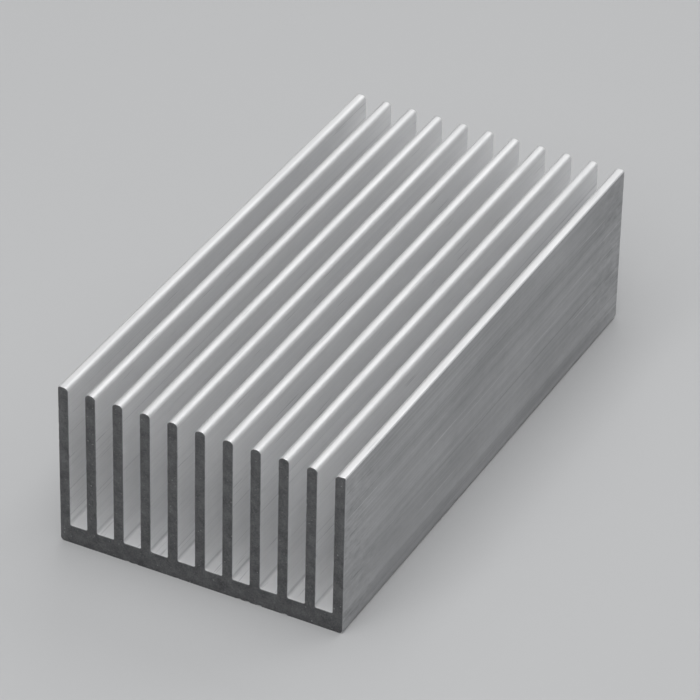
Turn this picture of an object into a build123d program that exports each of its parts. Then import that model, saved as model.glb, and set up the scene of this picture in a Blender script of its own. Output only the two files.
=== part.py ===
from build123d import *
import os

# Extruded aluminium heat sink, all sizes in millimetres.
# One straight length of a comb profile: a flat base plate that carries a row of
# tall straight fins, pushed through a die in one piece and sawn square at both ends.
#
# Frame: +Z up from the base to the fin tips, +Y along the extrusion, +X across the
# fins. The origin is the centre of the underside, the face that meets the hot part.

# ---------------------------------------------------------------- driving sizes
sawn_length = 100.0  # length cut from the extruded bar
overall_height = 29.6  # underside of the base to the fin tips
base_thickness = 3.4  # plate under the channel floors

fin_count = 11
fin_pitch = 4.85  # fin centre to fin centre
fin_thickness = 1.8  # the same from root to tip, the fins have no draft

fin_tip_radius = 0.75  # both edges of an inner fin, and the inside edge of an end fin
end_fin_outer_radius = 0.4  # outside top edge of the first and the last fin
channel_root_radius = 0.25  # die radius where a fin meets the channel floor
base_edge_radius = 0.65  # the two long lower edges of the base
saw_edge_break = 0.06  # deburred edge all round both sawn ends

# ---------------------------------------------------------------- derived sizes
channel_count = fin_count - 1
channel_width = fin_pitch - fin_thickness
fin_height = overall_height - base_thickness
overall_width = channel_count * fin_pitch + fin_thickness

# A radius is never larger than the wall or the channel that carries it.
tip_round = min(fin_tip_radius, 0.48 * fin_thickness)
outer_round = min(end_fin_outer_radius, 0.48 * fin_thickness)
root_round = min(channel_root_radius, 0.48 * channel_width)
base_round = min(base_edge_radius, 0.48 * base_thickness)
end_break = min(saw_edge_break, 0.6 * root_round)

# ---------------------------------------------------------------- the extrusion
with BuildPart() as heat_sink:
    with BuildSketch(Plane.XZ) as die_profile:
        # The full block of the profile, standing on Z = 0.
        Rectangle(overall_width, overall_height, align=(Align.CENTER, Align.MIN))

        # The channels, open at the top, leave the fins standing between them.
        with Locations((0, base_thickness)):
            with GridLocations(fin_pitch, 0, channel_count, 1):
                Rectangle(
                    channel_width,
                    fin_height,
                    align=(Align.CENTER, Align.MIN),
                    mode=Mode.SUBTRACT,
                )

        # Corners by height: the base's lower edges, the channel floors, the fin tips.
        roots = die_profile.vertices().group_by(Axis.Y)[1]
        fillet(roots, radius=root_round)
        tips = die_profile.vertices().group_by(Axis.Y)[-1].sort_by(Axis.X)
        fillet(tips[1:-1], radius=tip_round)
        tips = die_profile.vertices().group_by(Axis.Y)[-1].sort_by(Axis.X)
        fillet([tips[0], tips[-1]], radius=outer_round)
        lower_edges = die_profile.vertices().group_by(Axis.Y)[0]
        fillet(lower_edges, radius=base_round)
    extrude(amount=sawn_length / 2, both=True)

    # The saw leaves a burr all round each end, which is filed off to a fine break.
    sawn_ends = heat_sink.faces().filter_by(Axis.Y)
    chamfer(sawn_ends.edges(), length=end_break)

heat_sink.part.label = "heat_sink"

# ---------------------------------------------------------------- output
os.makedirs("parts", exist_ok=True)
export_step(heat_sink.part, "parts/heat_sink.step")
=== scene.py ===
import logging
import math
from dataclasses import dataclass
from enum import Enum
from typing import Callable

import bmesh
import bpy
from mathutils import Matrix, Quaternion, Vector, noise


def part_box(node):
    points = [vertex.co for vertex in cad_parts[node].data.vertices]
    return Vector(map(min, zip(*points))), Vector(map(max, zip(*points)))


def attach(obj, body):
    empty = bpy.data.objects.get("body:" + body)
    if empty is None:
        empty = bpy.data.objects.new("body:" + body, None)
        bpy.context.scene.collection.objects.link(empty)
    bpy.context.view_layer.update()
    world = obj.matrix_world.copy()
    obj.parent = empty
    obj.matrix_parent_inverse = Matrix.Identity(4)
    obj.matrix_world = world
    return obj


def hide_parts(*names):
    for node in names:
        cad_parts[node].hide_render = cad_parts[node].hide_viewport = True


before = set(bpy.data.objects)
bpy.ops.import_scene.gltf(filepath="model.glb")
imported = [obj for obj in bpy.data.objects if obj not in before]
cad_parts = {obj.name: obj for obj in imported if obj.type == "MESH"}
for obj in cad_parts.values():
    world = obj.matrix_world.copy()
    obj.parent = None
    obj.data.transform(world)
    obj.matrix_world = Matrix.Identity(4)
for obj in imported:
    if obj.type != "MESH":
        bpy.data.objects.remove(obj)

log = logging.getLogger("heat_sink")

Socket = bpy.types.NodeSocket
Span = tuple[float, float]
Triple = tuple[float, float, float]

MM = 0.001
MICRON = 0.000001
# Two lengths closer than this are the same.
SMALL = 0.00001
# A face is square on to an axis if more of its normal than this lies along it.
SQUARE_ON = 0.99
# A face leans towards an axis if more of its normal than this lies along it.
LEANING = 0.01

NODE = "heat_sink"
PIECE = "heat_sink_extrusion"
BODY = "root"
SKIN_MAP = "OFBake"
WEAR = "wear"
BASE_THICKNESS = 3.4 * MM


class Finish(Enum):
    """The surfaces that one length of extrusion shows, by its place in the piece's slots."""

    CHANNEL = 0
    FLANK = 1
    UNDERSIDE = 2
    SAWN = 3
    FILED = 4


class Part(Enum):
    """What a pick selects."""

    VERTICES = "VERT"
    EDGES = "EDGE"
    FACES = "FACE"


class Axis(Enum):
    """A direction on the piece."""

    ALONG = "Y"
    UP = "Z"


class Patch(Enum):
    """Which way a strip of the skin faces."""

    WALL = "wall"
    UP = "up"
    DOWN = "down"
    END = "end"


Strip = tuple[Patch, int, int]


def near(first: float, second: float) -> bool:
    """True if two lengths are the same but for rounding."""
    return abs(first - second) < SMALL


def middle(edge: bmesh.types.BMEdge) -> Vector:
    """The point halfway along an edge."""
    return (edge.verts[0].co + edge.verts[1].co) / 2


def net_of(piece: bpy.types.Object) -> bmesh.types.BMesh:
    """The net of the piece that is being edited."""
    return bmesh.from_edit_mesh(piece.data)


def pick(piece: bpy.types.Object, part: Part, test: Callable[..., bool]) -> None:
    """Selects, in edit mode, only what passes a test.

    Args:
        piece: the object in edit mode.
        part: vertices, edges or faces.
        test: takes one of them and says whether it is wanted.
    """
    bpy.ops.mesh.select_mode(type=part.value)
    bpy.ops.mesh.select_all(action="DESELECT")
    net = net_of(piece)
    for found in getattr(net, part.value.lower() + "s"):
        if test(found):
            found.select_set(True)
    net.select_flush_mode()
    bmesh.update_edit_mesh(piece.data)


class Tree:
    """A material's node tree, with short calls for the nodes that the finishes use."""

    def __init__(self, name: str) -> None:
        """Makes a new material with one Principled shader.

        Args:
            name: the material's name.
        """
        self.material = bpy.data.materials.new(name)
        self.material.use_nodes = True
        self.nodes = self.material.node_tree.nodes
        self.links = self.material.node_tree.links
        self.shader = self.nodes["Principled BSDF"]

    def node(self, kind: str, **settings: object) -> bpy.types.Node:
        """Adds a node.

        Args:
            kind: the node's type, without the ShaderNode prefix.
            settings: properties to set on the node.

        Returns:
            The new node.
        """
        made = self.nodes.new("ShaderNode" + kind)
        for name, value in settings.items():
            setattr(made, name, value)
        return made

    def feed(self, socket: Socket, value: object) -> None:
        """Links an output to an input socket, or sets the socket to a plain value.

        Args:
            socket: the input.
            value: an output, a number or a tuple of numbers.
        """
        if isinstance(value, bpy.types.NodeSocket):
            self.links.new(value, socket)
        else:
            socket.default_value = value

    def place(
        self,
        scale: Triple = (1.0, 1.0, 1.0),
        offset: Triple = (0.0, 0.0, 0.0),
        turn: Triple = (0.0, 0.0, 0.0),
    ) -> Socket:
        """The piece's own coordinates in metres, moved, turned and scaled.

        Args:
            scale: factors along the three axes.
            offset: added after the scale.
            turn: rotation in degrees.

        Returns:
            The vector output.
        """
        coordinates = self.node("TexCoord")
        mapping = self.node("Mapping")
        self.feed(mapping.inputs["Vector"], coordinates.outputs["Object"])
        self.feed(mapping.inputs["Location"], offset)
        self.feed(mapping.inputs["Rotation"], tuple(math.radians(a) for a in turn))
        self.feed(mapping.inputs["Scale"], scale)
        return mapping.outputs["Vector"]

    def reach(self, axis: Axis) -> Socket:
        """How far a point is from the piece's origin in one direction.

        Args:
            axis: the direction.

        Returns:
            The distance in metres.
        """
        made = self.node("SeparateXYZ")
        self.feed(made.inputs["Vector"], self.place())
        return made.outputs[axis.value]

    def wear(self) -> Socket:
        """How worn the piece is at a point, from 0 to 1."""
        return self.node("Attribute", attribute_name=WEAR).outputs["Fac"]

    def noise(
        self, vector: Socket, scale: float, detail: float = 2.0, roughness: float = 0.5
    ) -> Socket:
        """A noise pattern.

        Args:
            vector: where it is read.
            scale: how many cells to a unit of the vector.
            detail: octaves.
            roughness: how strong the fine octaves are.

        Returns:
            The value output, around 0.5.
        """
        made = self.node("TexNoise")
        self.feed(made.inputs["Vector"], vector)
        self.feed(made.inputs["Scale"], scale)
        self.feed(made.inputs["Detail"], detail)
        self.feed(made.inputs["Roughness"], roughness)
        return made.outputs["Fac"]

    def ranged(
        self, value: Socket, source: Span, target: Span = (0.0, 1.0), smooth: bool = False
    ) -> Socket:
        """Maps a value from one range to another, clamped.

        Args:
            value: the value to map.
            source: its low and high ends.
            target: what those ends become.
            smooth: ease in and out between the ends.

        Returns:
            The mapped value.
        """
        made = self.node("MapRange")
        made.interpolation_type = "SMOOTHSTEP" if smooth else "LINEAR"
        self.feed(made.inputs["Value"], value)
        self.feed(made.inputs["From Min"], source[0])
        self.feed(made.inputs["From Max"], source[1])
        self.feed(made.inputs["To Min"], target[0])
        self.feed(made.inputs["To Max"], target[1])
        return made.outputs["Result"]

    def maths(self, operation: str, first: object, second: object = 0.0) -> Socket:
        """One sum on one or two values.

        Args:
            operation: the Math node's operation.
            first: an output or a number.
            second: an output or a number.

        Returns:
            The result.
        """
        made = self.node("Math", operation=operation)
        self.feed(made.inputs[0], first)
        self.feed(made.inputs[1], second)
        return made.outputs[0]

    def add(self, first: object, second: object, times: float = 1.0) -> Socket:
        """The first value plus some times the second."""
        return self.maths("ADD", first, self.maths("MULTIPLY", second, times))

    def mean(self, first: Socket, second: Socket, share: float) -> Socket:
        """A weighted mean of two values, with this share of the second."""
        return self.add(self.maths("MULTIPLY", first, 1.0 - share), second, share)

    def blend(self, share: Socket, low: object, high: object) -> Socket:
        """Mixes two colours.

        Args:
            share: how much of the second colour.
            low: the first colour, an output or three numbers.
            high: the second colour, an output or three numbers.

        Returns:
            The mixed colour.
        """
        made = self.node("Mix", data_type="RGBA")
        self.feed(made.inputs[0], share)
        for socket, colour in ((made.inputs[6], low), (made.inputs[7], high)):
            self.feed(socket, (*colour, 1.0) if isinstance(colour, tuple) else colour)
        return made.outputs[2]

    def metal(
        self, colour: Socket, rough: Socket, relief: Socket, across_lines: float = 0.0
    ) -> bpy.types.Material:
        """Makes the shader bare metal.

        Args:
            colour: its base colour.
            rough: its roughness.
            relief: how high the surface stands, in microns.
            across_lines: how much wider the shine spreads across the die lines than along them.

        Returns:
            The material.
        """
        bump = self.node("Bump")
        self.feed(bump.inputs["Height"], relief)
        self.feed(bump.inputs["Distance"], MICRON)
        sockets = self.shader.inputs
        self.feed(sockets["Base Color"], colour)
        self.feed(sockets["Roughness"], rough)
        self.feed(sockets["Normal"], bump.outputs["Normal"])
        self.feed(sockets["Metallic"], 1.0)
        if across_lines:
            skin = self.node("Tangent", direction_type="UV_MAP", uv_map=SKIN_MAP)
            self.feed(sockets["Anisotropic"], across_lines)
            self.feed(sockets["Tangent"], skin.outputs["Tangent"])
        return self.material


@dataclass(frozen=True)
class Mark:
    """One kind of mark on a finish: where it is and what it does there, with its height in microns."""

    share: Socket
    tint: Triple
    cover: float
    rougher: float = 0.0
    height: float = 0.0


@dataclass(frozen=True)
class DieFinish:
    """Mill finish: what the die leaves on the faces that it shapes, fine lines along the length."""

    name: str
    dark: Triple
    light: Triple
    smooth: float
    dull: float
    across_lines: float
    line_depth: float = 3.0
    line_scale: float = 2600.0
    line_run: float = 0.004
    broad_width: float = 7.0
    broad_share: float = 0.45
    cloud_scale: float = 70.0
    cloud_share: float = 0.4
    tone_limits: Span = (0.38, 0.62)
    worn: Triple = (0.97, 0.972, 0.975)
    grooved: Triple = (0.5, 0.505, 0.515)

    def lines(self, tree: Tree) -> Socket:
        """Die lines: fine ones, and broader ones that run the whole length.

        Args:
            tree: the material's tree.

        Returns:
            A value around 0.5.
        """
        along = tree.place((1.0, self.line_run, 1.0))
        fine = tree.noise(along, self.line_scale, detail=4.0, roughness=0.6)
        broad = tree.noise(along, self.line_scale / self.broad_width, detail=3.0, roughness=0.55)
        return tree.mean(fine, broad, self.broad_share)

    def streaks(
        self,
        tree: Tree,
        run: float,
        limits: Span,
        shift: float,
        turn: Triple = (0.0, 0.0, 0.0),
        scale: float = 2200.0,
    ) -> Socket:
        """Thin marks that all run one way.

        Args:
            tree: the material's tree.
            run: their length over their width.
            limits: where in the noise a mark begins and where it is full; higher is rarer.
            shift: moves the pattern, so that two sets differ.
            turn: turns them from the length, in degrees.
            scale: how many fit side by side in a metre.

        Returns:
            1 on a mark, 0 elsewhere.
        """
        place = tree.place((1.0, 1.0 / run, 1.0), (shift, shift, shift), turn)
        return tree.ranged(tree.noise(place, scale, detail=1.0, roughness=0.4), limits)

    def edge_wear(self, tree: Tree) -> Socket:
        """Where edges and fin tips are rubbed bright, broken up by an uneven hand.

        Args:
            tree: the material's tree.

        Returns:
            0 to 1.
        """
        patchy = tree.noise(tree.place((1.0, 0.3, 1.0)), 900.0, detail=3.0, roughness=0.6)
        return tree.maths("MULTIPLY", tree.wear(), tree.ranged(patchy, (0.35, 0.6), (0.35, 1.0)))

    def marks(self, tree: Tree) -> list[Mark]:
        """The marks on this finish, the lowest first.

        Args:
            tree: the material's tree.

        Returns:
            The marks.
        """
        long_lines = self.streaks(tree, run=400.0, limits=(0.69, 0.74), shift=0.13)
        short_lines = self.streaks(tree, run=25.0, limits=(0.7, 0.76), shift=3.7)
        return [
            Mark(long_lines, self.grooved, cover=0.22, rougher=0.05, height=-6.0),
            Mark(short_lines, self.grooved, cover=0.3, rougher=0.08, height=-4.0),
            Mark(self.edge_wear(tree), self.worn, cover=0.6, rougher=-0.16),
        ]

    def material(self) -> bpy.types.Material:
        """Builds the material.

        Returns:
            Satin metal with die lines, its marks and a soft uneven tone.
        """
        tree = Tree(self.name)
        lines = self.lines(tree)
        cloud = tree.noise(tree.place((1.0, 0.5, 1.0)), self.cloud_scale, detail=4.0, roughness=0.6)
        tone = tree.ranged(tree.mean(lines, cloud, self.cloud_share), self.tone_limits)
        colour = tree.blend(tone, self.dark, self.light)
        rough = tree.ranged(tone, (0.0, 1.0), (self.dull, self.smooth))
        relief = tree.maths("MULTIPLY", lines, self.line_depth)
        for mark in self.marks(tree):
            colour = tree.blend(tree.maths("MULTIPLY", mark.share, mark.cover), colour, mark.tint)
            if mark.rougher:
                rough = tree.add(rough, mark.share, mark.rougher)
            if mark.height:
                relief = tree.add(relief, mark.share, mark.height)
        return tree.metal(colour, rough, relief, self.across_lines)


@dataclass(frozen=True)
class ChannelFinish(DieFinish):
    """The walls and floors between the fins, with a painted shade line where each wall meets its floor,
    and the floors painted lighter as if lit from above.
    """

    # The channel floors, up to this height and fading out just above it, are painted lighter than the
    # walls: painted light on faces that look up.
    floor_height: float = BASE_THICKNESS
    floor_fade: float = 0.1 * MM
    floor_painted_light: Triple = (0.99, 0.991, 0.993)
    # Where the painted shade line at the foot of each wall lies, and how far it reaches above and
    # below.
    root_shade_height: float = 3.95 * MM
    root_shade_width: float = 0.5 * MM

    def root_painted_shade(self, tree: Tree) -> Socket:
        """Painted shade: an uneven dark line at the foot of each wall, in the corner where it meets the
        floor.

        Args:
            tree: the material's tree.

        Returns:
            1 on the line, falling to 0 above and below it.
        """
        off = tree.maths("ABSOLUTE", tree.maths("SUBTRACT", tree.reach(Axis.UP), self.root_shade_height))
        line = tree.ranged(off, (0.0, self.root_shade_width), (1.0, 0.0), smooth=True)
        patchy = tree.noise(tree.place((1.0, 0.2, 1.0)), 500.0)
        return tree.maths("MULTIPLY", line, tree.ranged(patchy, (0.35, 0.6), (0.6, 1.0)))

    def marks(self, tree: Tree) -> list[Mark]:
        """The marks on this finish, the lowest first.

        Args:
            tree: the material's tree.

        Returns:
            The marks.
        """
        # Painted light: the floors between the fins are made lighter than the walls.
        limits = (self.floor_height, self.floor_height + self.floor_fade)
        floor = tree.ranged(tree.reach(Axis.UP), limits, (1.0, 0.0))
        return [
            Mark(floor, self.floor_painted_light, cover=0.8),
            # Painted shade: a dark line in the corner at the foot of each wall, in the grooved tint.
            Mark(self.root_painted_shade(tree), self.grooved, cover=0.4, rougher=0.05),
            *super().marks(tree),
        ]


@dataclass(frozen=True)
class FlankFinish(DieFinish):
    """The two outer sides, which get handled: a pale band by the base, scuffs and scratches. Their
    metal is painted much darker than the channels', a painted shade that stands for a dark reflection.
    """

    band_height: float = 4.8 * MM
    band_width: float = 1.9 * MM
    band_wander: float = 1.6 * MM
    scuff_reach: float = 16.0 * MM
    half_length: float = 50.0 * MM

    def band(self, tree: Tree) -> Socket:
        """The pale band along the foot of the side, a little above the level of the channel floors.

        Args:
            tree: the material's tree.

        Returns:
            1 in the band, falling to 0 on both sides.
        """
        wander = tree.noise(tree.place((0.0, 1.0, 0.0)), 40.0)
        height = tree.add(tree.reach(Axis.UP), wander, self.band_wander)
        off = tree.maths("SUBTRACT", height, self.band_height + self.band_wander / 2)
        limits = (0.0, self.band_width)
        return tree.ranged(tree.maths("ABSOLUTE", off), limits, (1.0, 0.0), smooth=True)

    def by_the_ends(self, tree: Tree, least: float) -> Socket:
        """A share that is 1 at the sawn ends and falls towards the middle.

        Args:
            tree: the material's tree.
            least: what is left of it in the middle.

        Returns:
            The share.
        """
        inset = tree.maths("SUBTRACT", self.half_length, tree.maths("ABSOLUTE", tree.reach(Axis.ALONG)))
        return tree.ranged(inset, (0.0, self.scuff_reach), (1.0, least), smooth=True)

    def marks(self, tree: Tree) -> list[Mark]:
        """The marks on this finish, the lowest first.

        Args:
            tree: the material's tree.

        Returns:
            The marks.
        """
        near_ends = self.by_the_ends(tree, least=0.25)
        rub = tree.noise(tree.place((1.0, 0.5, 1.0)), 1100.0, detail=4.0, roughness=0.6)
        pale_rub = tree.maths("MULTIPLY", tree.ranged(rub, (0.52, 0.66)), near_ends)
        dark_rub = tree.maths("MULTIPLY", tree.ranged(rub, (0.46, 0.34)), near_ends)
        gouges = self.streaks(tree, run=16.0, limits=(0.7, 0.76), shift=1.9, scale=2600.0)
        gouges = tree.maths("MULTIPLY", gouges, self.by_the_ends(tree, least=0.1))
        long_lines = self.streaks(tree, run=300.0, limits=(0.67, 0.74), shift=0.41)
        straight = self.streaks(tree, run=60.0, limits=(0.72, 0.77), shift=0.77)
        slanting = self.streaks(
            tree, run=70.0, limits=(0.74, 0.78), shift=2.3, turn=(-24.0, 0.0, 0.0)
        )
        return [
            Mark(self.band(tree), self.worn, cover=0.2, rougher=0.06),
            Mark(long_lines, self.grooved, cover=0.35, height=-6.0),
            Mark(pale_rub, self.worn, cover=0.22, rougher=0.1, height=1.5),
            Mark(dark_rub, self.grooved, cover=0.25, rougher=0.06, height=-1.5),
            Mark(gouges, self.grooved, cover=0.55, rougher=0.1, height=-9.0),
            Mark(straight, self.worn, cover=0.35, height=-4.0),
            Mark(slanting, self.worn, cover=0.35, height=-4.0),
            Mark(self.edge_wear(tree), self.worn, cover=0.45, rougher=-0.1),
        ]


@dataclass(frozen=True)
class UndersideFinish(DieFinish):
    """The flat face that sits on the chip: pale and smooth, with the scratches of being slid about."""

    def marks(self, tree: Tree) -> list[Mark]:
        """The marks on this finish, the lowest first.

        Args:
            tree: the material's tree.

        Returns:
            The marks.
        """
        rub = tree.noise(tree.place(), 110.0, detail=5.0, roughness=0.6)
        long_lines = self.streaks(tree, run=400.0, limits=(0.68, 0.74), shift=0.13)
        dark_scratches = self.streaks(
            tree, run=90.0, limits=(0.71, 0.76), shift=0.9, turn=(0.0, 0.0, 27.0)
        )
        pale_scratches = self.streaks(
            tree, run=60.0, limits=(0.72, 0.77), shift=2.9, turn=(0.0, 0.0, -58.0)
        )
        return [
            Mark(tree.ranged(rub, (0.48, 0.66)), self.dark, cover=0.5, rougher=0.12),
            Mark(long_lines, self.grooved, cover=0.2, height=-5.0),
            Mark(dark_scratches, self.grooved, cover=0.35, rougher=0.1, height=-5.0),
            Mark(pale_scratches, self.worn, cover=0.5, height=-5.0),
            Mark(self.edge_wear(tree), self.worn, cover=0.5, rougher=-0.1),
        ]


@dataclass(frozen=True)
class SawnFinish:
    """The matt grey face that a circular saw leaves across the profile, its dark grey partly the dull
    saw-cut and partly painted shade.
    """

    name: str = "sawn_end_painted_shade"
    # Much darker than bare aluminium: partly the dull saw-cut, partly painted shade, as of an end face
    # that reflects only dark surroundings.
    dark: Triple = (0.133, 0.135, 0.138)
    light: Triple = (0.215, 0.217, 0.221)
    speck: Triple = (0.6, 0.6, 0.605)
    smooth: float = 0.5
    dull: float = 0.68
    tone_limits: Span = (0.4, 0.64)
    blade_centre: Span = (-0.14, -0.09)
    arc_spacing: float = 1.1 * MM
    arc_depth: float = 5.0
    arc_tone: float = 0.025
    arc_wander: float = 3.5
    wander_detail: float = 3.0
    wander_scale: float = 1.5
    grain_scale: float = 3200.0
    grain_depth: float = 16.0
    cloud_scale: float = 420.0
    cloud_share: float = 0.5
    speck_scale: float = 2600.0
    speck_limits: Span = (0.68, 0.76)
    speck_cover: float = 0.5
    rubbed_cover: float = 0.08

    def arcs(self, tree: Tree) -> Socket:
        """The faint arcs that the blade leaves, all about its centre.

        Args:
            tree: the material's tree.

        Returns:
            0 to 1.
        """
        made = tree.node("TexWave", wave_type="RINGS", rings_direction="Y")
        centre = (-self.blade_centre[0], 0.0, -self.blade_centre[1])
        tree.feed(made.inputs["Vector"], tree.place(offset=centre))
        # At a scale of 1 the rings are pi / 10 apart.
        tree.feed(made.inputs["Scale"], math.pi / 10.0 / self.arc_spacing)
        tree.feed(made.inputs["Distortion"], self.arc_wander)
        tree.feed(made.inputs["Detail"], self.wander_detail)
        tree.feed(made.inputs["Detail Scale"], self.wander_scale)
        return made.outputs["Fac"]

    def material(self) -> bpy.types.Material:
        """Builds the material.

        Returns:
            Dull metal with faint arcs from the blade, an uneven fine grain and bright specks.
        """
        tree = Tree(self.name)
        arcs = self.arcs(tree)
        grain = tree.noise(tree.place(), self.grain_scale, detail=4.0, roughness=0.7)
        cloud = tree.noise(tree.place(), self.cloud_scale, detail=4.0, roughness=0.6)
        tone = tree.add(tree.mean(grain, cloud, self.cloud_share), arcs, self.arc_tone)
        dust = tree.place(offset=(0.3, 0.0, 0.7))
        specks = tree.noise(dust, self.speck_scale, detail=1.0, roughness=0.4)
        specks = tree.ranged(specks, self.speck_limits, (0.0, self.speck_cover))
        rubbed = tree.maths("MULTIPLY", tree.wear(), self.rubbed_cover)
        colour = tree.blend(tree.ranged(tone, self.tone_limits), self.dark, self.light)
        colour = tree.blend(tree.maths("MAXIMUM", specks, rubbed), colour, self.speck)
        rough = tree.ranged(tone, self.tone_limits, (self.dull, self.smooth))
        relief = tree.add(tree.maths("MULTIPLY", grain, self.grain_depth), arcs, self.arc_depth)
        return tree.metal(colour, rough, relief)


@dataclass(frozen=True)
class FiledFinish:
    """The narrow edge where the burr of the saw was filed off, bright where hands rub it."""

    name: str = "filed_edge"
    raw: Triple = (0.3, 0.303, 0.31)
    dark: Triple = (0.76, 0.765, 0.775)
    light: Triple = (0.97, 0.972, 0.975)
    smooth: float = 0.3
    dull: float = 0.55
    rub_limits: Span = (0.3, 0.85)
    grain_scale: float = 1800.0
    grain_depth: float = 24.0
    grain_limits: Span = (0.38, 0.62)

    def material(self) -> bpy.types.Material:
        """Builds the material.

        Returns:
            Metal with small uneven flats, bright where it is worn and dull where it is raw.
        """
        tree = Tree(self.name)
        grain = tree.noise(tree.place(), self.grain_scale, detail=3.0, roughness=0.6)
        bright = tree.blend(tree.ranged(grain, self.grain_limits), self.dark, self.light)
        colour = tree.blend(tree.ranged(tree.wear(), self.rub_limits), self.raw, bright)
        rough = tree.ranged(grain, self.grain_limits, (self.dull, self.smooth))
        return tree.metal(colour, rough, tree.maths("MULTIPLY", grain, self.grain_depth))


# In the order of Finish.
FINISHES = (
    # Channels: mill-finish aluminium, its colour set paler than bare aluminium so that more light
    # carries down between the fins, which is partly painted light.
    ChannelFinish(
        name="channel_mill_finish_painted_light",
        dark=(0.885, 0.888, 0.894),
        light=(0.98, 0.98, 0.981),
        smooth=0.55,
        dull=0.68,
        across_lines=0.2,
    ),
    # Outer sides: the same aluminium as the channels, painted much darker as painted shade, a painted
    # dark reflection of the surroundings; the worn and grooved tints are set to suit it.
    FlankFinish(
        name="flank_mill_finish_painted_shade",
        dark=(0.38, 0.384, 0.393),
        light=(0.52, 0.524, 0.533),
        smooth=0.4,
        dull=0.52,
        across_lines=0.7,
        worn=(0.84, 0.845, 0.85),
        grooved=(0.24, 0.243, 0.25),
    ),
    UndersideFinish(
        name="underside_mill_finish",
        dark=(0.8, 0.805, 0.815),
        light=(0.9, 0.905, 0.91),
        smooth=0.36,
        dull=0.48,
        across_lines=0.6,
    ),
    SawnFinish(),
    FiledFinish(),
)


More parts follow.
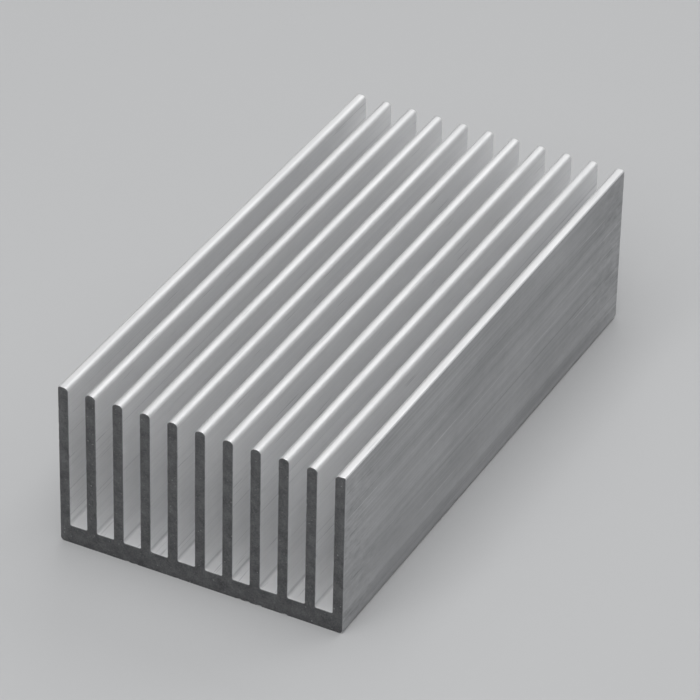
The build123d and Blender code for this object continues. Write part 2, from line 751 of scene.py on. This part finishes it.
@dataclass
class Extrusion:
    """One length of the comb profile, drawn as the die has it and pushed along Y."""

    width: float
    height: float
    length: float
    base_thickness: float = BASE_THICKNESS
    fin_count: int = 11
    fin_thickness: float = 1.8 * MM
    tip_radius: float = 0.75 * MM
    outer_tip_radius: float = 0.4 * MM
    root_radius: float = 0.25 * MM
    base_radius: float = 0.65 * MM
    end_break: float = 0.06 * MM
    outline_step: float = 0.5 * MM
    even_rings: int = 8
    ring_insets: tuple[float, ...] = (0.4 * MM, 0.9 * MM, 2.0 * MM)
    worn_rim: float = 0.2 * MM
    worn_tip: float = 0.5 * MM
    tip_rub: float = 0.7
    foot_rub: float = 0.8
    edge_rub: float = 0.4
    nick_scale: float = 1100.0
    nick_limit: float = 0.28
    nick_depth: float = 1.3 * MM
    deepest_nick: float = 0.3 * MM
    inner_nicks: float = 0.15
    wave_depth: float = 0.035 * MM
    wave_scale: float = 0.6
    end_shift: float = 10.0 * MM
    sheet_width: float = 167.0 * MM
    sheet_gap: float = 0.8 * MM
    end_stretch: float = 3.2
    break_stretch: float = 24.0
    flat_angle: float = 1.0
    smooth_angle: float = 35.0

    @property
    def pitch(self) -> float:
        """From one fin's centre to the next."""
        return (self.width - self.fin_thickness) / (self.fin_count - 1)

    @property
    def fin_centres(self) -> list[float]:
        """Where the fins stand across the base."""
        return [(i - (self.fin_count - 1) / 2) * self.pitch for i in range(self.fin_count)]

    @property
    def sides(self) -> tuple[Strip, Strip]:
        """The two walls that face outwards and reach down to the table."""
        return (Patch.WALL, 0, -1), (Patch.WALL, self.fin_count - 1, 1)

    @property
    def spare(self) -> float:
        """What the map adds to the length at each end, where it spreads the narrow edge out."""
        return self.end_break * (self.break_stretch - 1.0)

    def is_fin(self, x: float) -> bool:
        """True if x lies within a fin's thickness."""
        return min(abs(x - c) for c in self.fin_centres) < self.fin_thickness / 2

    def draw_base(self) -> bpy.types.Object:
        """Draws the base plate's section as a flat face at the front end, cut where each fin stands.

        Returns:
            The object, in edit mode.
        """
        bpy.ops.mesh.primitive_plane_add(size=1.0, location=(0.0, 0.0, 0.0))
        piece = bpy.context.object
        piece.name = PIECE
        bpy.ops.object.mode_set(mode="EDIT")
        bpy.ops.transform.resize(value=(self.width, self.base_thickness, 1.0))
        bpy.ops.transform.rotate(
            value=math.radians(90.0), orient_axis="X", center_override=(0.0, 0.0, 0.0)
        )
        bpy.ops.transform.translate(value=(0.0, -self.length / 2, self.base_thickness / 2))
        half = self.fin_thickness / 2
        for flank in [c + side for c in self.fin_centres for side in (-half, half)]:
            if abs(flank) < self.width / 2 - SMALL:
                bpy.ops.mesh.select_all(action="SELECT")
                bpy.ops.mesh.bisect(plane_co=(flank, 0.0, 0.0), plane_no=(1.0, 0.0, 0.0))
        return piece

    def draw_fins(self, piece: bpy.types.Object) -> None:
        """Pulls the fins up from the base and makes the whole comb one face.

        Args:
            piece: the object in edit mode.
        """
        pick(
            piece,
            Part.EDGES,
            lambda e: all(near(v.co.z, self.base_thickness) for v in e.verts)
            and self.is_fin(middle(e).x),
        )
        bpy.ops.mesh.extrude_region_move(
            TRANSFORM_OT_translate={"value": (0.0, 0.0, self.height - self.base_thickness)}
        )
        bpy.ops.mesh.select_all(action="SELECT")
        bpy.ops.mesh.remove_doubles(threshold=SMALL)
        bpy.ops.mesh.dissolve_limited(angle_limit=math.radians(self.flat_angle))

    def round_corners(self, piece: bpy.types.Object) -> None:
        """Rounds the comb's corners as the die does: tips, channel roots and lower edges.

        Args:
            piece: the object in edit mode.
        """
        edge = self.width / 2
        corners = (
            (self.tip_radius, 7, lambda v: near(v.co.z, self.height) and abs(v.co.x) < edge - SMALL),
            (self.outer_tip_radius, 6, lambda v: near(v.co.z, self.height) and near(abs(v.co.x), edge)),
            (self.root_radius, 4, lambda v: near(v.co.z, self.base_thickness)),
            (self.base_radius, 6, lambda v: near(v.co.z, 0.0)),
        )
        for radius, segments, test in corners:
            pick(piece, Part.VERTICES, test)
            bpy.ops.mesh.bevel(offset=radius, segments=segments, affect="VERTICES", clamp_overlap=False)

    def divide_outline(self, piece: bpy.types.Object) -> None:
        """Divides the comb's long straight runs into even steps, so that its edges can be worn.

        Args:
            piece: the object in edit mode.
        """
        bpy.ops.mesh.select_all(action="SELECT")
        bpy.ops.mesh.delete(type="ONLY_FACE")
        counts = {round(e.calc_length() / self.outline_step) for e in net_of(piece).edges}
        for steps in sorted(counts, reverse=True):
            if steps > 1:
                pick(
                    piece,
                    Part.EDGES,
                    lambda e, n=steps: round(e.calc_length() / self.outline_step) == n,
                )
                bpy.ops.mesh.subdivide(number_cuts=steps - 1)
        bpy.ops.mesh.select_all(action="SELECT")
        bpy.ops.mesh.edge_face_add()

    def rings(self) -> list[float]:
        """Places of the cuts along Y, closer together towards the sawn ends.

        Returns:
            The places, from the front to the back.
        """
        inner = self.length / 2 - max(self.ring_insets)
        even = [-inner + 2 * inner * i / self.even_rings for i in range(self.even_rings + 1)]
        ends = [self.length / 2 - d for d in self.ring_insets]
        return sorted(set(even) | set(ends) | {-e for e in ends})

    def push_through(self) -> None:
        """Pushes the face along Y to the sawn length and cuts rings round it."""
        bpy.ops.mesh.select_all(action="SELECT")
        bpy.ops.mesh.extrude_region_move(
            TRANSFORM_OT_translate={"value": (0.0, self.length, 0.0)}
        )
        bpy.ops.mesh.select_all(action="SELECT")
        bpy.ops.mesh.normals_make_consistent(inside=False)
        for place in self.rings():
            bpy.ops.mesh.select_all(action="SELECT")
            bpy.ops.mesh.bisect(plane_co=(0.0, place, 0.0), plane_no=(0.0, 1.0, 0.0))

    def break_ends(self, piece: bpy.types.Object) -> None:
        """Takes the sharp edge off both sawn ends, and sets a narrow rim inside it.

        Args:
            piece: the object in edit mode.
        """
        pick(
            piece,
            Part.EDGES,
            lambda e: all(near(abs(v.co.y), self.length / 2) for v in e.verts),
        )
        bpy.ops.mesh.bevel(offset=self.end_break, segments=2, affect="EDGES", clamp_overlap=False)
        pick(piece, Part.FACES, lambda f: len(f.verts) > 4 and abs(f.normal.y) > SQUARE_ON)
        bpy.ops.mesh.inset(thickness=self.worn_rim, use_even_offset=True)

    def dress(self, piece: bpy.types.Object) -> None:
        """Gives each face its finish. What no test below takes stays a channel.

        Args:
            piece: the object in edit mode.
        """
        for finish in FINISHES:
            piece.data.materials.append(finish.material())
        end = self.length / 2
        edge = self.width / 2
        for finish, test in (
            (
                Finish.FLANK,
                lambda f: near(abs(f.calc_center_median().x), edge)
                or (f.calc_center_median().z < self.base_radius and abs(f.normal.x) > LEANING),
            ),
            (Finish.UNDERSIDE, lambda f: near(f.calc_center_median().z, 0.0)),
            (Finish.FILED, lambda f: abs(f.calc_center_median().y) > end - self.end_break),
            (Finish.SAWN, lambda f: abs(f.normal.y) > SQUARE_ON),
        ):
            pick(piece, Part.FACES, test)
            piece.active_material_index = finish.value
            bpy.ops.object.material_slot_assign()

    def strips(self) -> dict[Strip, tuple[int, float]]:
        """Sets out the skin in rows of strips, as it lies when peeled off and flattened.

        Returns:
            For each strip, its row and where it begins across the row.
        """
        walls = [(Patch.WALL, fin, side) for fin in range(self.fin_count) for side in (-1, 1)]
        widths = {w: self.height - self.base_thickness for w in walls if w not in self.sides}
        widths |= {side: self.height for side in self.sides}
        widths |= {(Patch.UP, 0, 0): self.width, (Patch.DOWN, 0, 0): self.width}
        widths |= {(Patch.END, 0, -1): self.width, (Patch.END, 0, 1): self.width}
        places, row, reach = {}, 0, 0.0
        for strip, width in widths.items():
            if reach + width > self.sheet_width:
                row, reach = row + 1, 0.0
            places[strip] = (row, reach)
            reach += width + self.sheet_gap
        return places

    def strip_of(self, face: bmesh.types.BMFace) -> Strip:
        """Which strip of the skin a face belongs to.

        Args:
            face: a face of the finished net.

        Returns:
            The strip's kind, its fin, and its side of the fin or of the length.
        """
        normal, centre = face.normal, face.calc_center_median()
        if abs(normal.y) > SQUARE_ON:
            return Patch.END, 0, 1 if centre.y > 0.0 else -1
        if abs(normal.z) >= abs(normal.x):
            return Patch.UP if normal.z > 0.0 else Patch.DOWN, 0, 0
        side = 1 if normal.x > 0.0 else -1
        fin = (centre.x - side * self.fin_thickness / 2) / self.pitch + (self.fin_count - 1) / 2
        return Patch.WALL, round(fin), side

    def across_strip(self, strip: Strip, place: Vector) -> float:
        """How far across its strip a point lies.

        Args:
            strip: the strip.
            place: the point.

        Returns:
            The distance in metres.
        """
        if strip[0] is not Patch.WALL:
            return place.x + self.width / 2
        return place.z if strip in self.sides else place.z - self.base_thickness

    def along_strip(self, strip: Strip, place: Vector) -> float:
        """How far along its strip a point lies, with the narrow edge at the ends spread out.

        Args:
            strip: the strip.
            place: the point.

        Returns:
            The distance in metres.
        """
        if strip[0] is Patch.END:
            return place.z * self.end_stretch
        past = max(0.0, abs(place.y) - self.length / 2 + self.end_break)
        past *= self.break_stretch - 1.0
        return place.y + math.copysign(past, place.y) + self.length / 2 + self.spare

    def lay_flat(self, piece: bpy.types.Object) -> None:
        """Gives the piece its map: the die lines run up the sheet, the outline runs across it.

        Args:
            piece: the object in edit mode.
        """
        bpy.ops.mesh.select_all(action="SELECT")
        net = net_of(piece)
        sheet = net.loops.layers.uv.new(SKIN_MAP)
        strips = self.strips()
        row_height = self.length + 2 * self.spare + 3 * self.sheet_gap
        rows = 1 + max(row for row, _ in strips.values())
        for face in net.faces:
            strip = self.strip_of(face)
            row, start = strips[strip]
            for corner in face.loops:
                across = start + self.across_strip(strip, corner.vert.co)
                along = row * row_height + self.along_strip(strip, corner.vert.co)
                corner[sheet].uv = (across / self.sheet_width, along / (rows * row_height))
        bmesh.update_edit_mesh(piece.data)

    def recess(self, place: Vector) -> float:
        """How far the saw's edge has crumbled at a place on the outline.

        Args:
            place: a point on the edge of a sawn end.

        Returns:
            The depth along the length, in metres.
        """
        spot = Vector((place.x, math.copysign(self.end_shift, place.y), place.z)) * self.nick_scale
        wave = (0.5 + 0.5 * noise.noise(spot * self.wave_scale)) * self.wave_depth
        nick = max(0.0, noise.noise(spot) - self.nick_limit) * self.nick_depth
        outside = near(abs(place.x), self.width / 2) or place.z < self.base_radius
        return min(self.deepest_nick, wave + nick * (1.0 if outside else self.inner_nicks))

    def wear_down(self, piece: bpy.types.Object) -> None:
        """Crumbles the sawn edges a little, and notes how worn each point is.

        Args:
            piece: the object in edit mode.
        """
        net = net_of(piece)
        wear = net.verts.layers.float.new(WEAR)
        end = self.length / 2
        rim = {v for f in net.faces if f.material_index == Finish.FILED.value for v in f.verts}
        for vert in net.verts:
            tip = (vert.co.z - self.height + self.worn_tip) / self.worn_tip
            foot = 1.0 - math.hypot(self.width / 2 - abs(vert.co.x), vert.co.z) / self.base_radius
            rubbed = max(0.0, self.tip_rub * tip, self.foot_rub * foot)
            vert[wear] = min(1.0, self.edge_rub + rubbed) if vert in rim else rubbed
        for vert in rim:
            vert.co.y -= math.copysign(self.recess(vert.co), vert.co.y)
        chips = [
            f
            for f in net.faces
            if f.material_index == Finish.SAWN.value
            and abs(f.calc_center_median().y) < end - self.end_break
        ]
        for face in chips:
            face.material_index = Finish.FILED.value
        bmesh.update_edit_mesh(piece.data)
        log.info("%s: %d chips along the sawn edges", PIECE, len(chips))

    def build(self) -> bpy.types.Object:
        """Builds the piece.

        Returns:
            The finished object, at the origin.
        """
        piece = self.draw_base()
        self.draw_fins(piece)
        self.round_corners(piece)
        self.divide_outline(piece)
        self.push_through()
        self.break_ends(piece)
        self.dress(piece)
        self.lay_flat(piece)
        self.wear_down(piece)
        bpy.ops.object.mode_set(mode="OBJECT")
        bpy.ops.object.shade_smooth_by_angle(angle=math.radians(self.smooth_angle))
        return piece


@dataclass(frozen=True)
class Softbox:
    """A soft lamp: its centre, its width and height in metres, and its power in watts."""

    name: str
    place: Triple
    size: Span
    power: float

    def hang(self, target: Vector) -> None:
        """Hangs the lamp.

        Args:
            target: the point that it faces.
        """
        bpy.ops.object.light_add(type="AREA", location=self.place)
        lamp = bpy.context.object
        lamp.name = self.name
        lamp.data.shape = "RECTANGLE"
        lamp.data.size, lamp.data.size_y = self.size
        lamp.data.energy = self.power
        lamp.rotation_mode = "QUATERNION"
        lamp.rotation_quaternion = (target - Vector(self.place)).to_track_quat("-Z", "Y")


@dataclass
class Studio:
    """A pale floor, soft lamps and the camera."""

    target: Vector
    azimuth: float = 26.9
    elevation: float = 34.4
    roll: float = 1.3
    distance: float = 0.745
    lens: float = 236.0
    sight: float = 100.0
    floor_size: float = 12.0
    floor_colour: Triple = (0.61, 0.614, 0.62)
    floor_roughness: float = 0.85
    world_colour: Triple = (0.97, 0.985, 1.0)
    world_strength: float = 0.2
    bounces_between_fins: int = 12
    softboxes: tuple[Softbox, ...] = (
        Softbox("key_softbox", place=(0.09, 0.75, 0.655), size=(1.3, 0.7), power=2.8),
        Softbox("top_softbox", place=(0.0, 0.0, 1.0), size=(0.8, 0.8), power=3.4),
        Softbox("front_softbox", place=(0.0, -0.643, 0.766), size=(0.8, 0.8), power=3.6),
    )

    def floor(self) -> None:
        """Lays the floor."""
        bpy.ops.mesh.primitive_plane_add(size=self.floor_size, location=(0.0, 0.0, 0.0))
        floor = bpy.context.object
        floor.name = "floor"
        tree = Tree("pale_floor")
        tree.feed(tree.shader.inputs["Base Color"], (*self.floor_colour, 1.0))
        tree.feed(tree.shader.inputs["Roughness"], self.floor_roughness)
        floor.data.materials.append(tree.material)

    def world(self) -> None:
        """Lights the room evenly."""
        world = bpy.data.worlds.new("room")
        world.use_nodes = True
        background = world.node_tree.nodes["Background"]
        background.inputs["Color"].default_value = (*self.world_colour, 1.0)
        background.inputs["Strength"].default_value = self.world_strength
        bpy.context.scene.world = world

    def camera(self) -> None:
        """Places the camera, turned a little about its own line of sight."""
        turn, rise = math.radians(self.azimuth), math.radians(self.elevation)
        back = Vector(
            (math.sin(turn) * math.cos(rise), -math.cos(turn) * math.cos(rise), math.sin(rise))
        )
        bpy.ops.object.camera_add(location=self.target + back * self.distance)
        camera = bpy.context.object
        camera.data.lens = self.lens
        camera.data.clip_end = self.sight
        camera.rotation_mode = "QUATERNION"
        level = (-back).to_track_quat("-Z", "Y")
        camera.rotation_quaternion = Quaternion(back, math.radians(self.roll)) @ level
        bpy.context.scene.camera = camera

    def build(self) -> None:
        """Builds the stage and sets how the picture is shown."""
        self.floor()
        for softbox in self.softboxes:
            softbox.hang(self.target)
        self.world()
        self.camera()
        bpy.context.scene.view_settings.view_transform = "Standard"
        bpy.context.scene.cycles.glossy_bounces = self.bounces_between_fins


def main() -> None:
    """Builds the object and its stage, and reports each piece."""
    logging.basicConfig(level=logging.INFO, format="%(message)s")
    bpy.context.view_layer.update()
    bpy.ops.object.select_all(action="DESELECT")
    low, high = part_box(NODE)
    size = high - low
    piece = Extrusion(width=size.x, height=size.z, length=size.y).build()
    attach(piece, BODY)
    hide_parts(NODE)
    log.info("%s: %d faces", piece.name, len(piece.data.polygons))
    Studio(target=(low + high) / 2).build()


if __name__ == "__main__":
    main()
